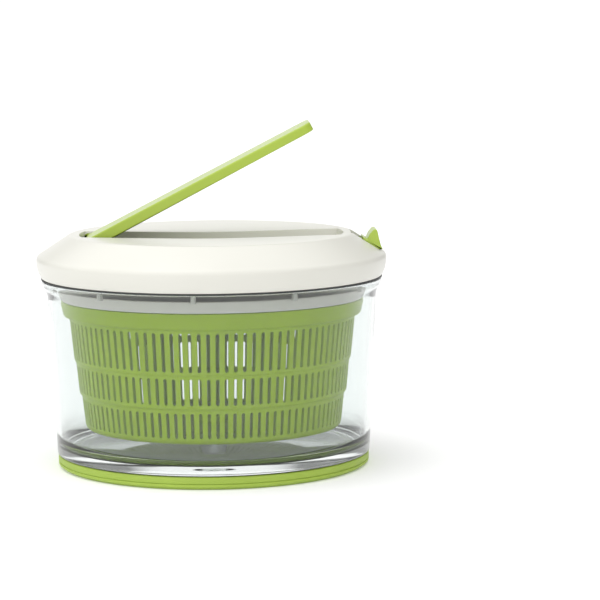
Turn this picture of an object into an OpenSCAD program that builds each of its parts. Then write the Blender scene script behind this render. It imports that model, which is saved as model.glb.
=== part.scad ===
// Lever-pumped salad spinner. A clear bowl stands on a soft foot ring. A slotted basket turns on a
// pin in the bowl. The lid holds the lever, the rack and gears that it drives, a roller clutch, and
// the plate that turns the basket. Lengths are in millimetres. The origin is the centre of the foot
// ring where it stands, +Z is up, the lever is hinged at -X and its latch is at +X.

/* [Bowl] */
// Outer radius of the bowl's wall where it meets the foot ring
bowl_foot_r = 99.1; // [98.8:0.1:99.8]
// Outer radius of the bowl's wall where the rim starts to flare
bowl_top_r = 103.5; // [103:0.1:104]
// Outer radius of the bowl's rim
bowl_rim_r = 107; // [106.5:0.1:107.2]
// Height of the bowl's rim above the table
bowl_h = 118.4; // [118:0.1:118.4]
// Thickness of the bowl's wall
bowl_wall = 2.6; // [2:0.1:2.8]
// Height of the bowl's inner floor
bowl_floor_z = 13.5; // [12:0.5:15]
// Height of the foot ring
ring_h = 8; // [7:0.1:8.2]
// Radius of the pin that the basket turns on
basket_pin_r = 5; // [4:0.1:5.5]

/* [Basket] */
// Number of slots in each row of the wall
slot_count = 101; // [60:1:104]
// Width of a slot
slot_w = 2.3; // [1.8:0.1:2.6]
// Thickness of the basket's wall and floor
basket_wall = 2.2; // [1.8:0.1:2.4]
// Height of the underside of the basket's floor
basket_z = 24.8; // [24:0.1:25.4]

/* [Lid] */
// Largest outer radius of the lid
lid_r = 110.2; // [109.5:0.1:111]
// Height of the rim of the lid's shallow dished top
lid_top_z = 146.2; // [146.1:0.1:146.6]
// Wall thickness of the lid
lid_wall = 2.4; // [2:0.1:2.6]
// Slope of the lid's shoulder in degrees
lid_slope = 33; // [31:0.5:34]
// Radius of the round ends of the lever's channel
channel_r = 83; // [82.8:0.1:83.4]
// Width of the lever's channel
channel_w = 43; // [42:0.5:44]
// Height of the channel's floor
channel_z = 136.5; // [136:0.1:136.6]

/* [Lever] */
// Angle that the raised lever stands above its folded position
lever_angle = 27.2; // [20:0.1:27.2]
// Length from the hinge to the lever's tip
lever_l = 156.7; // [150:0.1:156.8]
// Width of the lever
lever_w = 39; // [36:0.5:39]

/* [Gears] */
// Thinning of each tooth that gives the gears their backlash
backlash = 0.13; // [0.08:0.01:0.2]
// Addendum of every tooth
addendum = 0.8; // [0.7:0.05:0.85]

/* [Hidden] */
$fn = 96;

leaf_green = [0.64, 0.72, 0.22];
ring_green = [0.50, 0.66, 0.15];
lid_white = [0.93, 0.93, 0.90];
clear_grey = [0.80, 0.84, 0.84, 0.35];
steel = [0.72, 0.72, 0.74];
acetal = [0.86, 0.86, 0.84];

fit = 0.05;             // radial clearance of a running fit
over = 0.5;             // how far a cutter runs past the face that it opens

// Foot
foot_r0 = 84;
foot_r1 = 88;
foot_z = 1.6;
under_z = 8.5;          // underside of the bowl's floor
flare_h = 12.4;         // height over which the rim flares
floor_round = 9;
pin_top = 29.8;

// Basket tiers from the bottom: [low z, low r, high z, high r] of the outer wall
tiers = [[27.8, 80.9, 46.0, 83.0], [47.6, 84.4, 67.0, 86.3], [68.4, 87.3, 94.6, 90.2]];
slot_rows = [[28.6, 44.1], [49.2, 65.5], [69.7, 93.8]];
rim_low = [96.4, 94.0];
rim_high = [106.5, 96.0];
hub_r = 9.5;
hub_h = 11.6;
cup_r = 7.4;
cup_z = 20;
cup_h = 10.2;
dog_count = 6;
dog_rib = 2.4;
// Rings of slots in the floor: [inner radius, outer radius, number of slots]
floor_slots = [[40, 56, 36], [62, 75, 50]];

// Lid
seam_z = 119.5;         // lower edge of the lid's side
shoulder_z = 130.4;     // where the lid is widest
shoulder_round = 4;
crown_round = 4;
lid_edge_r = 107.2;
lid_dish = 2.2;         // fall of the top from its rim to its middle
floor_t = 2;            // thickness of the channel's floor
liner_z = 116.5;
liner_t = 2;
liner_hub = 0.7;        // how far the liner's hubs stand below it
step_r = 89.5;          // inner radius of the liner's raised rim
boss_ring_r = 84;
screw_count = 6;
rib_count = 10;
screw_boss_r = 4;
pin_boss_r = 3.4;
tap_r = 1.42;           // hole that a screw cuts its own thread in
pocket_skin = 2;        // wall round the latch's pocket
rail_x = -86;           // guide rails on the liner: where they start, and how they lie about the rack
rail_gap = 4.1;
rail_w = 2;
rail_long = 70;
rail_short = 42;        // ends before the rack's side teeth

// Lever, in its own frame: the hinge is the origin, folded, the tip along +X
pivot = [-76, 141.3];
barrel_r = 3.6;
lever_top = 3.5;
lever_skin = 2;
lever_heel = -3.3;      // underside near the hinge
lever_toe = -2.1;       // underside at the tip
pin_r = 1.5;
pin_half = 26.5;        // half the length of the hinge pin
sector_w = 7.6;
sector_holes = [11, 20];
bracket_z = -1.6;
wire_r = 0.5;
coil_r = 2.25;
coil_turns = 5;
coil_y = [5.2, 11];

// Gear train: module 1
pressure = 20;
clearance = 0.25;
sector_r = 18;
rack_z = pivot[1] - sector_r;
pinion_n = 14;
wheel_n = 48;
clutch_n = 14;
rack_pitch_y = 5;
idler_y = rack_pitch_y + pinion_n / 2;
centres = (wheel_n + clutch_n) / 2;
idler_x = -sqrt(centres * centres - idler_y * idler_y);
idler_to_spindle = atan2(-idler_y, -idler_x);
gear_low_z = liner_z + 2.7;
gear_z = 125.6;
gear_t = 4;
axle_r = 2;
spindle_r = 3;
hub_clutch_r = 5;
roller_r = 1.5;
roller_orbit = hub_clutch_r + roller_r + 0.1;
boss_z = 130.4;
boss_top = 133.8;

// Drive plate
plate_z = 107;
web_z = 111;
plate_rim = [106.8, 114];
plate_r = 96.5;
plate_hub_r = 8;

// Latch
latch_w = 23.6;
pocket_x = 87.9;
pocket_z = 135.4;
latch_x = 101;          // axis of the latch's screw
tongue_z = pivot[1] - 0.8;
tongue_t = 1.85;
tongue_w = 10.4;

// Points of an arc about c with radius r, from angle a0 to a1 in n steps
function arc(c, r, a0, a1, n = 8) =
    [for (i = [0:n]) let (a = a0 + (a1 - a0) * i / n) c + r * [cos(a), sin(a)]];

// Involute function of an angle, in degrees
function inv(a) = tan(a) * 180 / PI - a;

// Half the angle of a tooth at radius r, for a gear of n teeth and module 1
function half_tooth(r, n) =
    let (base = n / 2 * cos(pressure))
    (90 - backlash * 180 / PI) / n + inv(pressure) - inv(acos(min(1, base / r)));

// Outline of one tooth whose middle points along angle a
function tooth(n, a) =
    let (root = n / 2 - addendum - clearance, tip = n / 2 + addendum,
         radii = [for (i = [0:4]) root + (tip - root) * i / 4])
    concat([for (r = radii) r * [cos(a - half_tooth(r, n)), sin(a - half_tooth(r, n))]],
           [for (i = [4:-1:0]) let (r = radii[i])
               r * [cos(a + half_tooth(r, n)), sin(a + half_tooth(r, n))]]);

// Whole gear outline with a tooth pointing along angle a
function gear_outline(n, a) = [for (k = [0:n - 1]) each tooth(n, a + 360 * k / n)];

// Rack teeth from first to last, each one module pitch along, on a body that reaches down to low
function rack_outline(first, last, low) =
    let (slope = tan(pressure), half = PI / 4 - backlash / 2, root = addendum + clearance)
    concat([[PI * first - PI / 2, low], [PI * first - PI / 2, -root]],
           [for (k = [first:last]) each [[PI * k - half - root * slope, -root],
                                         [PI * k - half + addendum * slope, addendum],
                                         [PI * k + half - addendum * slope, addendum],
                                         [PI * k + half + root * slope, -root]]],
           [[PI * last + PI / 2, -root], [PI * last + PI / 2, low]]);

// Outline of a body of revolution through the lid, set in by t from the outside
function lid_outline(t) =
    let (bulge = ((shoulder_z - seam_z) * (shoulder_z - seam_z)
                  + (lid_r - lid_edge_r) * (lid_r - lid_edge_r)) / (2 * (lid_r - lid_edge_r)),
         start = -asin((shoulder_z - seam_z) / (bulge - t)),
         normal = 90 - lid_slope,
         side = [lid_r - shoulder_round, shoulder_z],
         crown_z = lid_top_z - crown_round,
         crown_x = side[0] + (side[1] - crown_z) / tan(lid_slope)
                   + (shoulder_round - crown_round) / sin(lid_slope),
         level = 90 + atan(lid_dish / crown_x))
    concat([[0, seam_z]],
           arc([lid_r - bulge, shoulder_z], bulge - t, start, 0, 8),
           arc(side, shoulder_round - t, 6, normal, 6),
           arc([crown_x, crown_z], crown_round - t, normal, level, 5),
           [[0, lid_top_z - lid_dish - t]]);

// Straight extrusion of an X-Z outline, centred on Y
module along_y(w) {
    rotate([90, 0, 0]) linear_extrude(w, center = true) children();
}

// Cylinder along Y from y0 to y1 through the point [x, z]
module rod_y(r, y0, y1, at = [0, 0]) {
    translate([at[0], y1, at[1]]) rotate([90, 0, 0]) cylinder(r = r, h = y1 - y0);
}

// Puts the lever's own frame at the hinge, raised
module at_hinge() {
    translate([pivot[0], 0, pivot[1]]) rotate([0, -lever_angle, 0]) children();
}

// Screw with a round head below z = 0, a hexagon socket in it, and a shank above
module screw(head_r, head_h, shank_r, shank_l) {
    difference() {
        union() {
            translate([0, 0, -head_h]) cylinder(r = head_r, h = head_h);
            cylinder(r = shank_r, h = shank_l);
        }
        translate([0, 0, -head_h - over]) cylinder(r = head_r * 0.45, h = head_h / 2 + over, $fn = 6);
    }
}

module bowl() {
    flare_z = bowl_h - flare_h;
    shell = concat([[0, under_z], [foot_r0, under_z], [foot_r0, foot_z], [foot_r1, foot_z],
                    [foot_r1, ring_h + 0.1], [bowl_foot_r - 1.3, ring_h + 0.1], [bowl_foot_r, ring_h + 1.4]],
                   [for (i = [0:6]) let (t = i / 6) [bowl_top_r + (bowl_rim_r - bowl_top_r) * sin(90 * t * t),
                                                     flare_z + (bowl_h - 1.6 - flare_z) * t]],
                   [[bowl_rim_r, bowl_h - 0.6], [bowl_rim_r - 0.6, bowl_h],
                    [bowl_rim_r - bowl_wall, bowl_h]],
                   [for (i = [5:-1:0]) let (t = i / 6)
                       [bowl_top_r - bowl_wall + (bowl_rim_r - bowl_top_r) * sin(90 * t * t),
                        flare_z + (bowl_h - 1.6 - flare_z) * t]],
                   arc([bowl_foot_r - bowl_wall - floor_round, bowl_floor_z + floor_round],
                       floor_round, 0, -90, 6),
                   [[0, bowl_floor_z]]);
    color(clear_grey) union() {
        rotate_extrude() polygon(shell);
        translate([0, 0, bowl_floor_z - 1]) cylinder(r1 = 9, r2 = 7.6, h = 6);
        translate([0, 0, bowl_floor_z]) cylinder(r = basket_pin_r, h = pin_top - 1 - bowl_floor_z);
        translate([0, 0, pin_top - 1]) cylinder(r1 = basket_pin_r, r2 = basket_pin_r - 1, h = 1);
    }
}

module base_ring() {
    groove_z = 3.6;
    ring_r = 98.5;
    color(ring_green) rotate_extrude() polygon([
        [foot_r0 - 2, 0], [ring_r - 3.1, 0], [ring_r - 0.9, 1.2], [ring_r - 0.2, groove_z - 0.5],
        [ring_r - 0.8, groove_z], [ring_r - 0.1, groove_z + 0.5], [ring_r, ring_h - 0.6],
        [ring_r - 0.6, ring_h],
        [foot_r1, ring_h], [foot_r1, foot_z], [foot_r0 - 2, foot_z]]);
}

module basket() {
    outer = concat(arc([tiers[0][1] - 3, tiers[0][0]], 3, -90, 0, 5),
                   [for (t = tiers) each [[t[1], t[0]], [t[3], t[2]]]],
                   [[92.4, rim_low[0] - 1], [rim_low[1], rim_low[0]], [rim_high[1], rim_high[0]]]);
    // the inner wall is the outer one set in by the wall's thickness
    inner = [for (i = [len(outer) - 1:-1:5]) outer[i] - [basket_wall, 0]];
    color(leaf_green) difference() {
        union() {
            rotate_extrude() polygon(concat([[0, basket_z]], outer, inner,
                [[tiers[0][1] - basket_wall - 1, basket_z + basket_wall], [0, basket_z + basket_wall]]));
            translate([0, 0, cup_z]) cylinder(r = hub_r, h = hub_h);
            for (k = [0:dog_count - 1]) rotate(360 * k / dog_count)
                translate([90.8, -dog_rib / 2, rim_high[0] - 8.5]) cube([2.8, dog_rib, 8]);
        }
        translate([0, 0, cup_z - over]) cylinder(r = cup_r, h = cup_h + over);
        for (row = slot_rows, k = [0:slot_count - 1]) rotate(360 * k / slot_count)
            translate([74, -slot_w / 2, row[0]]) cube([24, slot_w, row[1] - row[0]]);
        for (ring = floor_slots, k = [0:ring[2] - 1]) rotate(360 * k / ring[2])
            translate([ring[0], -slot_w / 2, basket_z - over])
                cube([ring[1] - ring[0], slot_w, basket_wall + 2 * over]);
    }
}

module pivot_cup() {
    color(acetal) difference() {
        translate([0, 0, cup_z]) cylinder(r = cup_r, h = cup_h);
        translate([0, 0, cup_z - over]) cylinder(r = basket_pin_r + fit, h = pin_top + 0.2 - cup_z + over);
    }
}

// Plan of the channel, set out by t
module channel_plan(t) {
    intersection() {
        circle(channel_r + t);
        square([2 * (channel_r + t), channel_w + 2 * t], center = true);
    }
}

module lid_shell() {
    pocket_w = latch_w + 1;
    color(lid_white) difference() {
        union() {
            difference() {
                rotate_extrude() polygon(lid_outline(0));
                rotate_extrude() polygon(lid_outline(lid_wall));
            }
            translate([0, 0, channel_z - floor_t])
                linear_extrude(lid_top_z - lid_dish - channel_z + floor_t) channel_plan(lid_wall);
            translate([0, 0, boss_z]) cylinder(r = 6, h = channel_z - boss_z - 1);
            translate([idler_x, idler_y, boss_z]) cylinder(r = 5, h = channel_z - boss_z - 1);
            for (k = [0:screw_count - 1]) rotate(30 + 360 * k / screw_count)
                translate([boss_ring_r, 0, liner_z + liner_t])
                    cylinder(r = screw_boss_r, h = lid_top_z - lid_wall - liner_z - 1.6);
            rod_y(pin_boss_r, -pin_half - 1.1, pin_half + 1.1, pivot);
            intersection() {
                rotate_extrude() polygon(lid_outline(0));
                translate([pocket_x - pocket_skin, -pocket_w / 2 - pocket_skin, pocket_z - pocket_skin])
                    cube([40, pocket_w + 2 * pocket_skin, 20]);
            }
        }
        // channel, the sector's slot in its floor and the lever's pin
        translate([0, 0, channel_z]) linear_extrude(20) channel_plan(0);
        translate([-83.5, -4.6, channel_z - floor_t - over]) cube([17.5, 9.2, floor_t + 2 * over]);
        rod_y(pin_r + 0.02, -pin_half - 0.1, pin_half + 0.1, pivot);
        // bearings above the spindle and the idler
        translate([0, 0, boss_z - over]) cylinder(r = spindle_r + fit, h = boss_top - boss_z + over);
        translate([idler_x, idler_y, boss_z - over])
            cylinder(r = axle_r + 0.02, h = boss_top - boss_z + over);
        for (k = [0:screw_count - 1]) rotate(30 + 360 * k / screw_count)
            translate([boss_ring_r, 0, liner_z + liner_t - over]) cylinder(r = tap_r, h = 10);
        // latch pocket, the tongue's way into the channel and the latch screw's slot
        translate([pocket_x, -pocket_w / 2, pocket_z]) cube([40, pocket_w, 20]);
        translate([channel_r - 1, -tongue_w / 2 - 0.4, tongue_z - 0.3])
            cube([pocket_x - channel_r + 2, tongue_w + 0.8, tongue_t + 0.6]);
        translate([latch_x - 9.5, -2, pocket_z - pocket_skin - over]) cube([12, 4, pocket_skin + 2 * over]);
    }
}

module lid_liner() {
    rail_h = 6.5;
    hub = 9;
    flange_r = 104;
    flange_z = seam_z - 0.3;
    color(lid_white) difference() {
        union() {
            rotate_extrude() polygon([
                [0, liner_z - liner_hub], [hub, liner_z - liner_hub], [hub, liner_z], [step_r + 2, liner_z],
                [step_r + 2, flange_z], [flange_r, flange_z], [flange_r, flange_z + liner_t],
                [step_r, flange_z + liner_t], [step_r, liner_z + liner_t], [0, liner_z + liner_t]]);
            // ribs that centre the lid in the bowl's rim
            for (k = [0:rib_count - 1]) rotate(-96.5 + 360 * k / rib_count)
                translate([98, -1.5, seam_z - 6.3]) cube([2.5, 3, 6.3]);
            // guide rails on both sides of the rack
            translate([rail_x, -rail_gap - rail_w, liner_z + 1]) cube([rail_long, rail_w, rail_h]);
            translate([rail_x, rail_gap, liner_z + 1]) cube([rail_short, rail_w, rail_h]);
            translate([idler_x, idler_y, liner_z - liner_hub]) cylinder(r = 5, h = liner_hub + liner_t + 0.3);
        }
        translate([0, 0, liner_z - 2]) cylinder(r = hub_clutch_r, h = 6);
        translate([idler_x, idler_y, liner_z]) cylinder(r = axle_r + 0.02, h = 6);
        for (k = [0:screw_count - 1]) rotate(30 + 360 * k / screw_count)
            translate([boss_ring_r, 0, liner_z - over]) cylinder(r = 1.6, h = liner_t + 2 * over);
    }
}

module rim_gasket() {
    color([0.16, 0.17, 0.17]) translate([0, 0, seam_z - 1]) difference() {
        cylinder(r = 107.5, h = 1);
        translate([0, 0, -over]) cylinder(r = 104.1, h = 1 + 2 * over);
    }
}

module liner_screws() {
    color(steel) for (k = [0:screw_count - 1]) rotate(30 + 360 * k / screw_count)
        translate([boss_ring_r, 0, liner_z]) screw(3, 1.5, 1.4, 10);
}

module lever_pin() {
    color(steel) rod_y(pin_r, -pin_half, pin_half, pivot);
}

// Torsion spring round the lever's pin: a foot on the channel's floor, the coil, and an arm under
// the lever. Its path is [x, y, z] about the hinge.
module lever_spring() {
    sides = 8;
    turn_end = coil_turns * 360 + 180 - lever_angle;
    lift = [sin(-lever_angle), cos(lever_angle)];
    run = [cos(lever_angle), sin(lever_angle)];
    steps = 10 * coil_turns + 5;
    foot = [[13, coil_y[0], -3.9], [4, coil_y[0], -2.9]];
    coil = [for (i = [0:steps]) let (a = -90 - turn_end * i / steps)
        [coil_r * cos(a), coil_y[0] + (coil_y[1] - coil_y[0]) * i / steps, coil_r * sin(a)]];
    arm = [for (p = [[4, 1.9], [9, 1.75], [15, 1.75]])
        let (q = p[0] * run + p[1] * lift) [q[0], coil_y[1], q[1]]];
    path = concat(foot, coil, arm);
    last = len(path) - 1;
    rings = [for (i = [0:last])
        let (t = path[min(i + 1, last)] - path[max(i - 1, 0)],
             u = cross([0, 1, 0], t) / norm(cross([0, 1, 0], t)),
             v = cross(t, u) / norm(cross(t, u)))
        each [for (k = [0:sides - 1]) let (a = 360 * k / sides)
            path[i] + wire_r * (cos(a) * u + sin(a) * v)]];
    walls = [for (i = [0:last - 1], k = [0:sides - 1]) let (n = (k + 1) % sides)
        [i * sides + k, (i + 1) * sides + k, (i + 1) * sides + n, i * sides + n]];
    caps = [[for (k = [0:sides - 1]) k], [for (k = [sides - 1:-1:0]) last * sides + k]];
    color(steel) translate([pivot[0], 0, pivot[1]]) polyhedron(rings, concat(walls, caps));
}

module idler_axle() {
    color(steel) translate([idler_x, idler_y, liner_z])
        cylinder(r = axle_r, h = boss_top - 0.2 - liner_z);
}

module spindle_bush() {
    color(acetal) translate([0, 0, liner_z - liner_hub]) difference() {
        cylinder(r = hub_clutch_r, h = liner_t + liner_hub);
        translate([0, 0, -over]) cylinder(r = spindle_r + fit, h = liner_t + 1 + 2 * over);
    }
}

module thrust_washer() {
    color(steel) translate([0, 0, liner_z + liner_t]) difference() {
        cylinder(r = 6.5, h = 0.3);
        translate([0, 0, -over]) cylinder(r = spindle_r + 0.1, h = 0.3 + 2 * over);
    }
}

// Plan of the lever between the hinge and x = l, inset by t, with round corners at the tip
module lever_plan(l, t) {
    w = lever_w / 2 - t;
    c = 5.5 - t;
    union() {
        translate([0, -w]) square([l - c, 2 * w]);
        translate([0, c - w]) square([l, 2 * (w - c)]);
        for (s = [-1, 1]) translate([l - c, s * (w - c)]) circle(c);
    }
}

module lever() {
    rib = 1.6;
    color(leaf_green) at_hinge() difference() {
        union() {
            intersection() {
                translate([0, 0, -10]) linear_extrude(20) lever_plan(lever_l, 0);
                along_y(lever_w + 2) polygon([[0, lever_top], [lever_l, lever_top],
                                              [lever_l, lever_toe], [3, lever_heel], [0, lever_heel]]);
            }
            rod_y(barrel_r, -lever_w / 2, lever_w / 2);
        }
        // hollow underside with cross ribs and a spine
        difference() {
            translate([5, 0, -10]) linear_extrude(10 + lever_top - lever_skin) lever_plan(lever_l - 7.5, 2);
            for (x = [30:25:130]) translate([x, -lever_w / 2, -10]) cube([rib, lever_w, 20]);
            translate([30, -rib / 2, -10]) cube([lever_l, rib, 20]);
        }
        // room for the sector's hub and the spring
        rod_y(3, -4.3, 12.2);
        translate([-5, -4.3, -6]) cube([11, 16.5, 6]);
        translate([0, -4.3, -6]) cube([6, 16.5, 6 + lever_top - lever_skin]);
        translate([0, 10, -6]) cube([17, 2.2, 8.6]);
        rod_y(pin_r + fit, -lever_w / 2 - 1, lever_w / 2 + 1);
        // slot for the latch's tongue
        translate([lever_l - 4, -6, -1.2]) cube([5, 12, 2.7]);
    }
}

module drive_sector() {
    n = 2 * sector_r;
    pitch = 360 / n;
    // a tooth points straight down when the lever is raised
    first = -90 - lever_angle - pitch;
    span = [first - pitch / 2, first + 5.5 * pitch];
    root = sector_r - addendum - clearance;
    color(acetal) at_hinge() difference() {
        union() {
            rod_y(2.8, -sector_w / 2, sector_w / 2);
            along_y(sector_w) polygon(concat([[0, 0]], arc([0, 0], root + 0.05, span[0], span[1], 12)));
            for (k = [0:5]) along_y(sector_w) polygon(tooth(n, first + k * pitch));
            translate([0, -sector_w / 2, bracket_z]) cube([24, sector_w, lever_top - lever_skin - bracket_z]);
        }
        rod_y(pin_r + fit, -sector_w, sector_w);
        for (x = sector_holes) translate([x, 0, -5]) cylinder(r = 1.22, h = 10);
    }
}

module sector_screws() {
    color(steel) at_hinge() for (x = sector_holes)
        translate([x, 0, bracket_z]) screw(2.2, 1.2, 1.2, lever_top - lever_skin - bracket_z);
}

module rack() {
    low_z = liner_z + liner_t + 0.1;
    top = rack_z - addendum - clearance;
    color(acetal) union() {
        // teeth on top, under the sector: a space lies below the hinge
        translate([pivot[0] + PI / 2, 0, rack_z]) along_y(8) polygon(rack_outline(-1, 3, low_z - rack_z));
        translate([-64, -4, low_z]) cube([49, 7.9, top - low_z]);
        // teeth on the side, against the idler's pinion
        translate([idler_x + PI / 2, rack_pitch_y, low_z]) linear_extrude(top - low_z)
            polygon(rack_outline(-2, 3, -5));
    }
}

module idler_gear() {
    color(acetal) translate([idler_x, idler_y, 0]) difference() {
        union() {
            translate([0, 0, gear_low_z]) linear_extrude(gear_z - gear_low_z)
                polygon(gear_outline(pinion_n, -90));
            translate([0, 0, gear_z]) linear_extrude(gear_t)
                polygon(gear_outline(wheel_n, idler_to_spindle));
        }
        translate([0, 0, liner_z]) cylinder(r = axle_r + fit, h = 20);
        for (k = [0:5]) rotate(60 * k)
            translate([15, 0, gear_z - over]) cylinder(r = 4.5, h = gear_t + 2 * over);
    }
}

module clutch_gear() {
    cavity_h = 5.2;
    color(acetal) difference() {
        union() {
            translate([0, 0, gear_low_z]) cylinder(r = 11, h = cavity_h + 0.7);
            translate([0, 0, gear_low_z + cavity_h + 0.3])
                cylinder(r = 5.6, h = gear_z - gear_low_z - cavity_h + 0.2);
            translate([0, 0, gear_z]) linear_extrude(gear_t)
                polygon(gear_outline(clutch_n, 180 + idler_to_spindle + 180 / clutch_n));
        }
        translate([0, 0, liner_z]) cylinder(r = spindle_r + fit, h = 20);
        // cavity round the shaft's hub, with a ramped pocket for each roller
        translate([0, 0, gear_low_z - over]) linear_extrude(cavity_h + over) union() {
            circle(hub_clutch_r + 0.5);
            for (k = [0:2]) rotate(120 * k) {
                translate([roller_orbit, 0]) circle(roller_r + 0.08);
                rotate(16) translate([roller_orbit + 0.3, 0]) circle(roller_r + 0.4);
            }
        }
    }
}

module clutch_rollers() {
    color(steel) for (k = [0:2]) rotate(120 * k)
        translate([roller_orbit, 0, gear_low_z + 0.2]) cylinder(r = roller_r, h = 4.8);
}

module drive_shaft() {
    color(steel) difference() {
        union() {
            translate([0, 0, plate_z]) cylinder(r = spindle_r, h = boss_top - 0.2 - plate_z);
            translate([0, 0, gear_low_z - 0.3]) cylinder(r = hub_clutch_r, h = 5.3);
        }
        translate([0, 0, plate_z - 1]) cylinder(r = 1.52, h = 9);
    }
}

module drive_plate() {
    inner_r = plate_r - 2.6;
    web_top = web_z + 2.2;
    hub_top = plate_z + 8.4;
    dog_z = plate_rim[0] - 3.2;
    color(lid_white) difference() {
        union() {
            rotate_extrude() polygon([[0, plate_z], [plate_hub_r, plate_z], [plate_hub_r, web_z],
                                      [inner_r, web_z], [inner_r, plate_rim[0]], [plate_r, plate_rim[0]],
                                      [plate_r, plate_rim[1] - 0.6], [plate_r - 0.6, plate_rim[1]],
                                      [inner_r, plate_rim[1]], [inner_r, web_top], [plate_hub_r, web_top],
                                      [plate_hub_r, hub_top], [0, hub_top]]);
            for (k = [0:7]) rotate(22.5 + 45 * k) translate([6, -1, web_z - 2.5]) cube([83, 2, 3]);
            // a pair of dogs astride each of the basket's ribs
            for (k = [0:dog_count - 1], s = [-1, 1]) rotate(360 * k / dog_count)
                translate([89.5, s > 0 ? dog_rib / 2 + 0.5 : -dog_rib / 2 - 5.5, dog_z])
                    cube([2.9, 5, web_z + 0.6 - dog_z]);
        }
        translate([0, 0, plate_z - 1]) cylinder(r = spindle_r + 0.02, h = 12);
    }
}

module plate_screw() {
    color(steel) translate([0, 0, plate_z]) screw(5, 2.4, 1.5, 7.5);
}

module latch_tab() {
    slope = tan(lid_slope);
    // height of the lid's sloping shoulder at x, raised a little
    flank = [for (x = [107, 98, 95]) [x, shoulder_z + 4.3 + (108.4 - x) * slope]];
    low = pocket_z + 0.1;
    color(ring_green) difference() {
        union() {
            along_y(latch_w) polygon([[95, low], [107.3, low], flank[0], flank[1], flank[2]]);
            // finger fin, hollow on the thumb's side
            along_y(latch_w - 3.6) polygon([[97, low], [107.3, low], [106.1, low + 2.6], [104.2, low + 10.8],
                                            [103.2, low + 12.3], [102, low + 12.4], [98.9, low + 10.4],
                                            [98.3, low + 8.2], [97, low + 5.4]]);
            translate([86.4, -tongue_w / 2, tongue_z]) cube([10, tongue_w, tongue_t]);
        }
        translate([latch_x, 0, pocket_z - 1]) cylinder(r = tap_r, h = 7);
    }
}

module latch_screw() {
    color(steel) translate([latch_x, 0, pocket_z - pocket_skin - 0.1]) screw(3.2, 1.4, 1.4, 7.4);
}

bowl();
base_ring();
basket();
pivot_cup();
lid_shell();
lid_liner();
rim_gasket();
liner_screws();
lever_pin();
lever_spring();
idler_axle();
spindle_bush();
thrust_washer();
lever();
drive_sector();
sector_screws();
rack();
idler_gear();
clutch_gear();
clutch_rollers();
drive_shaft();
drive_plate();
plate_screw();
latch_tab();
latch_screw();
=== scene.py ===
"""Looks of the lever salad spinner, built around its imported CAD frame.

Each sub-assembly is a class that holds its own sizes in millimetres, builds its meshes with bmesh
operators and dresses them. Each finish is a small frozen dataclass that makes one node material.
The hinge and the bowl's rim are read from the frame's nodes. The other sizes repeat the CAD model's.
"""

import logging
import math
from dataclasses import dataclass, field
from enum import Enum
from typing import Callable, Iterable, Sequence

import bmesh
import bpy
from mathutils import Matrix, Vector


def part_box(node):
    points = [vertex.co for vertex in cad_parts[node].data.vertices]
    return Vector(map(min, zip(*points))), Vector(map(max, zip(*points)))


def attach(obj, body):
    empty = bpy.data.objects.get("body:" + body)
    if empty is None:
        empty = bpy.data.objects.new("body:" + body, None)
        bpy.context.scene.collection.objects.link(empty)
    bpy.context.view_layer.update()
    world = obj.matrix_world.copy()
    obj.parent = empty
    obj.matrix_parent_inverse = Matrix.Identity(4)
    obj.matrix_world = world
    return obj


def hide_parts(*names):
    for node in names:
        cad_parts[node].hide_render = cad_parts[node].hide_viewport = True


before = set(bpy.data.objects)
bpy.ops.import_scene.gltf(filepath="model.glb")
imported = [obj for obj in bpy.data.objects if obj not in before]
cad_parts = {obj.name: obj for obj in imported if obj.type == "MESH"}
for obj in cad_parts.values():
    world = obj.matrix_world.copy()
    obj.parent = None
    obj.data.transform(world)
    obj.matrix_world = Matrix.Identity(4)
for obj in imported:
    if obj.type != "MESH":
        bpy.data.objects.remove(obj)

LOG = logging.getLogger("spinner")
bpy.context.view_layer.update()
MM = 0.001
WELD = 2e-6
WHITE = "FFFFFF"
Point = tuple[float, float]


# ---------------------------------------------------------------- colours and nodes


def linear(code: str) -> tuple[float, float, float, float]:
    """Turns an sRGB hex colour into linear light.

    Args:
        code: Six hex digits, such as "8FA02A".

    Returns:
        Red, green, blue and an alpha of 1.
    """
    parts = [int(code[i : i + 2], 16) / 255 for i in (0, 2, 4)]
    red, green, blue = [c / 12.92 if c <= 0.04045 else ((c + 0.055) / 1.055) ** 2.4 for c in parts]
    return red, green, blue, 1.0


def add(
    tree: bpy.types.NodeTree, kind: str, settings: dict | None = None, links: dict | None = None
) -> bpy.types.Node:
    """Adds one node with its settings and its incoming links.

    Args:
        tree: The material's or world's node tree.
        kind: The node's type name, such as "ShaderNodeTexNoise".
        settings: Attributes by name, or socket values by socket name or number.
        links: Output sockets by the name or number of the input that they feed.

    Returns:
        The new node.
    """
    node = tree.nodes.new(kind)
    for name, value in (settings or {}).items():
        if isinstance(name, str) and hasattr(node, name) and name not in node.inputs:
            setattr(node, name, value)
        else:
            node.inputs[name].default_value = value
    for name, source in (links or {}).items():
        tree.links.new(source, node.inputs[name])
    return node


def start_material(name: str) -> tuple[bpy.types.Material, bpy.types.NodeTree, bpy.types.NodeSocket]:
    """Makes an empty node material.

    Args:
        name: The material's name.

    Returns:
        The material, its tree and the object coordinates' output.
    """
    material = bpy.data.materials.new(name)
    material.use_nodes = True
    tree = material.node_tree
    tree.nodes.clear()
    place = add(tree, "ShaderNodeTexCoord").outputs["Object"]
    return material, tree, place


def per_metre(size_mm: float) -> float:
    """Noise scale whose features are about size_mm across."""
    return 1000.0 / size_mm


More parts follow.
